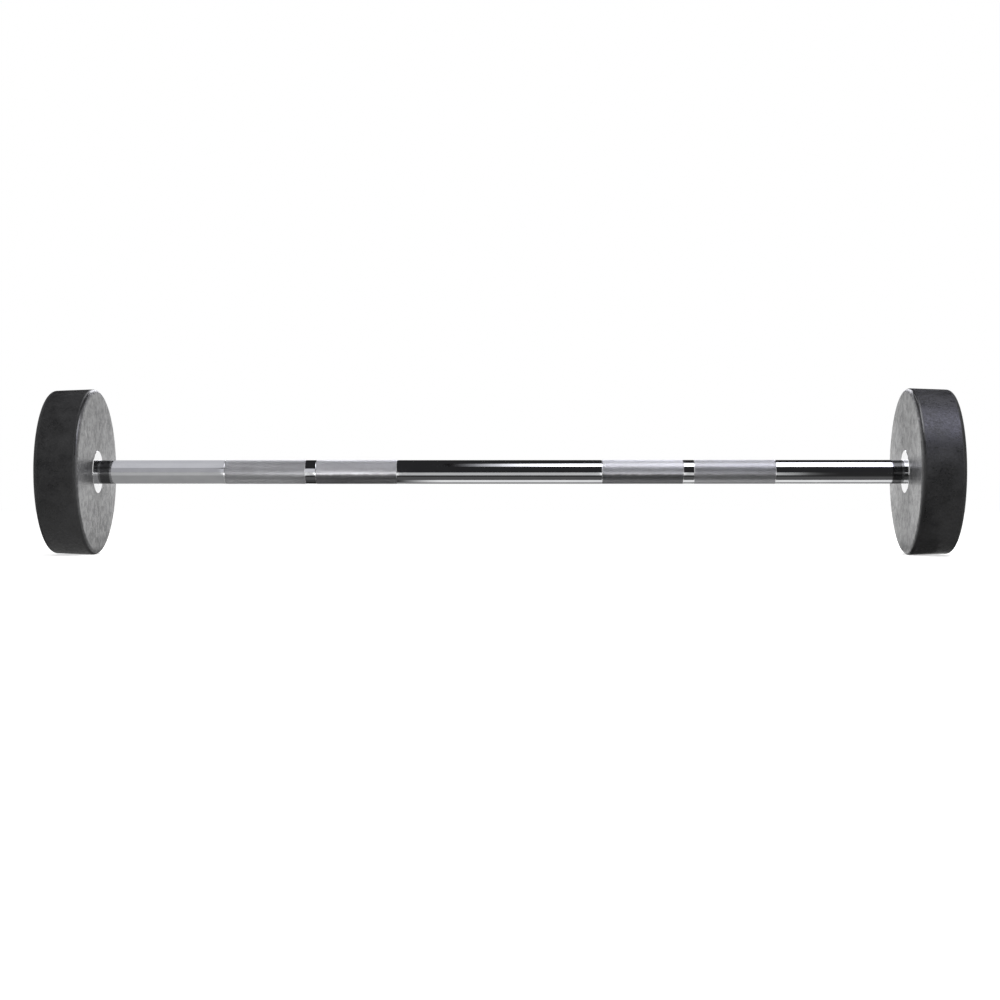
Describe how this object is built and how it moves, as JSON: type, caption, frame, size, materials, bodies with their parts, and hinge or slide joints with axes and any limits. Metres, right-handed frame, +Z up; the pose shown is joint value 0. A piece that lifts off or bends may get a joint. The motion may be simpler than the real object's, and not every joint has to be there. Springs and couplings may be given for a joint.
{
  "type": "fixed-weight straight barbell",
  "caption": "Straight chromed steel bar with knurled grip bands and a round urethane-cased iron head keyed and bolted on each end.",
  "frame": {"origin": "middle of the bar's axis", "axes": "+X along the bar to the right-hand head, +Z up when the barbell rests on its heads' rims"},
  "size_m": [1.13, 0.2096, 0.2096],
  "materials": {
    "chromed_bar": "polished chrome plate, knurled bands satin",
    "black_urethane": "satin, fine moulded grain, lightly scuffed",
    "core_iron": "as cast",
    "sleeve_steel": "machined",
    "polished_flange": "polished",
    "plated_fastener": "zinc plated, satin",
    "cap_steel": "turned stainless, satin"
  },
  "bodies": {
    "root": {"bar": "chromed_bar", "head_casing_left": "black_urethane", "head_casing_right": "black_urethane", "head_core_left": "core_iron", "head_core_right": "core_iron", "hub_sleeve_left": "sleeve_steel", "hub_sleeve_right": "sleeve_steel", "inner_flange_left": "polished_flange", "inner_flange_right": "polished_flange", "drive_key_left": "sleeve_steel", "drive_key_right": "sleeve_steel", "end_washer_left": "plated_fastener", "end_washer_right": "plated_fastener", "lock_washer_left": "plated_fastener", "lock_washer_right": "plated_fastener", "end_bolt_left": "plated_fastener", "end_bolt_right": "plated_fastener", "end_cap_left": "cap_steel", "end_cap_right": "cap_steel", "cap_screws_left": "plated_fastener", "cap_screws_right": "plated_fastener"}
  },
  "joints": []
}
